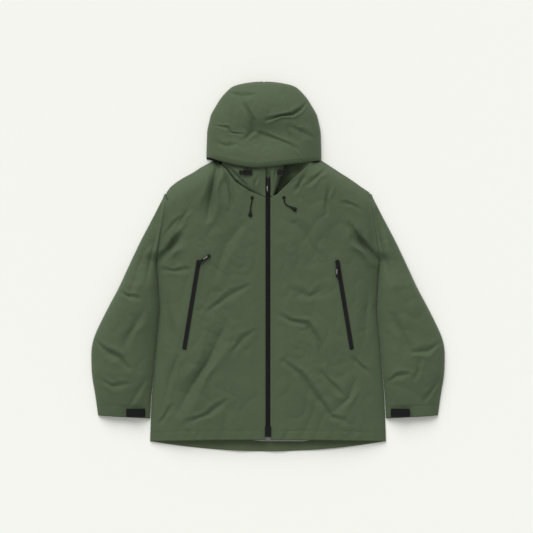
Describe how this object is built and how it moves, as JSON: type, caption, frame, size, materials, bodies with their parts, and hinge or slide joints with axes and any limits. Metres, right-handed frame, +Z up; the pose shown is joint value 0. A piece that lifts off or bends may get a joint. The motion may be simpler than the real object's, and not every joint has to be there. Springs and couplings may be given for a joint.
{
  "type": "hardshell jacket",
  "caption": "Olive waterproof shell jacket laid flat, hood up and zip closed, with running zips, hand pockets, cuff tabs and cord locks.",
  "frame": {"origin": "on the flat underside of the back panel, on the line of the main zip, a little above the middle of the jacket", "axes": "+Z up from the floor through the front, +Y towards the hood, +X towards the wearer's left sleeve"},
  "size_m": [0.9418, 0.983, 0.0623],
  "materials": {
    "shell": "matt woven face, three-layer laminate",
    "lining": "light grey tricot backer",
    "zip_cloth": "coated black zip tape",
    "bag_mesh": "fine knitted mesh",
    "webbing": "black woven cord and tape",
    "zip_plastic": "black lacquered slider and rubber pull",
    "moulded_plastic": "black moulded rubber and acetal"
  },
  "bodies": {
    "jacket": {"back_hem_facing": "shell", "back_panel": "shell", "collar_front_left": "shell", "collar_front_right": "shell", "cord_end_left": "moulded_plastic", "cord_end_right": "moulded_plastic", "cord_eyelet_left": "moulded_plastic", "cord_eyelet_right": "moulded_plastic", "cuff_facing_left": "lining", "cuff_facing_right": "lining", "cuff_loop_left": "webbing", "cuff_loop_right": "webbing", "front_panel_left": "shell", "front_panel_right": "shell", "hanger_loop": "webbing", "hem_lock_left": "moulded_plastic", "hem_lock_right": "moulded_plastic", "hood_back": "shell", "hood_brim": "shell", "hood_cord_left": "webbing", "hood_cord_right": "webbing", "hood_crown": "shell", "hood_lock_left": "moulded_plastic", "hood_lock_right": "moulded_plastic", "hood_side_left": "shell", "hood_side_right": "shell", "neck_facing": "lining", "neck_label": "lining", "pocket_bag_left": "bag_mesh", "pocket_bag_right": "bag_mesh", "pocket_zip_left": "zip_cloth", "pocket_zip_right": "zip_cloth", "sleeve_under_left": "shell", "sleeve_under_right": "shell", "sleeve_upper_left": "shell", "sleeve_upper_right": "shell", "storm_flap": "shell", "zip_coil": "zip_cloth", "zip_retaining_box": "moulded_plastic", "zip_tape_left": "zip_cloth", "zip_tape_right": "zip_cloth"},
    "main_slider": {"main_slider": "zip_plastic"},
    "main_pull": {"main_pull": "zip_plastic"},
    "pocket_slider_left": {"pocket_slider_left": "zip_plastic"},
    "pocket_pull_left": {"pocket_pull_left": "zip_plastic"},
    "cuff_tab_left": {"cuff_tab_left": "moulded_plastic"},
    "hood_lock_button_left": {"hood_lock_button_left": "moulded_plastic"},
    "hem_lock_button_left": {"hem_lock_button_left": "moulded_plastic"},
    "pocket_slider_right": {"pocket_slider_right": "zip_plastic"},
    "pocket_pull_right": {"pocket_pull_right": "zip_plastic"},
    "cuff_tab_right": {"cuff_tab_right": "moulded_plastic"},
    "hood_lock_button_right": {"hood_lock_button_right": "moulded_plastic"},
    "hem_lock_button_right": {"hem_lock_button_right": "moulded_plastic"}
  },
  "joints": [
    {"name": "main_zip_run", "type": "slide", "parent": "jacket", "child": "main_slider", "axis": [0, -0.9995, -0.0319], "range_m": [0, 0.636]},
    {"name": "main_pull_swing", "type": "hinge", "parent": "main_slider", "child": "main_pull", "pos_m": [0, 0.22892, 0.04911], "axis": [-1, 0, 0], "range_deg": [0, 150]},
    {"name": "pocket_zip_run_left", "type": "slide", "parent": "jacket", "child": "pocket_slider_left", "axis": [0.1643, -0.9856, -0.04], "range_m": [0, 0.22]},
    {"name": "pocket_pull_swing_left", "type": "hinge", "parent": "pocket_slider_left", "child": "pocket_pull_left", "pos_m": [0.18432, 0.00911, 0.04085], "axis": [-0.9994, 0.0349, 0], "range_deg": [0, 150]},
    {"name": "cuff_tab_peel_left", "type": "hinge", "parent": "jacket", "child": "cuff_tab_left", "pos_m": [0.326, -0.388, 0.01501], "axis": [0, -1, 0], "range_deg": [0, 120]},
    {"name": "hood_lock_press_left", "type": "slide", "parent": "jacket", "child": "hood_lock_button_left", "axis": [-1, 0, 0], "range_m": [0, 0.003], "stiffness_N_per_m": 400, "springref_m": -0.002},
    {"name": "hem_lock_press_left", "type": "slide", "parent": "jacket", "child": "hem_lock_button_left", "axis": [1, 0, 0], "range_m": [0, 0.003], "stiffness_N_per_m": 400, "springref_m": -0.002},
    {"name": "pocket_zip_run_right", "type": "slide", "parent": "jacket", "child": "pocket_slider_right", "axis": [-0.1643, -0.9856, -0.04], "range_m": [0, 0.22]},
    {"name": "pocket_pull_swing_right", "type": "hinge", "parent": "pocket_slider_right", "child": "pocket_pull_right", "pos_m": [-0.18432, 0.00911, 0.04085], "axis": [0.5446, -0.8387, 0], "range_deg": [0, 150]},
    {"name": "cuff_tab_peel_right", "type": "hinge", "parent": "jacket", "child": "cuff_tab_right", "pos_m": [-0.326, -0.388, 0.01501], "axis": [0, 1, 0], "range_deg": [0, 120]},
    {"name": "hood_lock_press_right", "type": "slide", "parent": "jacket", "child": "hood_lock_button_right", "axis": [1, 0, 0], "range_m": [0, 0.003], "stiffness_N_per_m": 400, "springref_m": -0.002},
    {"name": "hem_lock_press_right", "type": "slide", "parent": "jacket", "child": "hem_lock_button_right", "axis": [-1, 0, 0], "range_m": [0, 0.003], "stiffness_N_per_m": 400, "springref_m": -0.002}
  ]
}
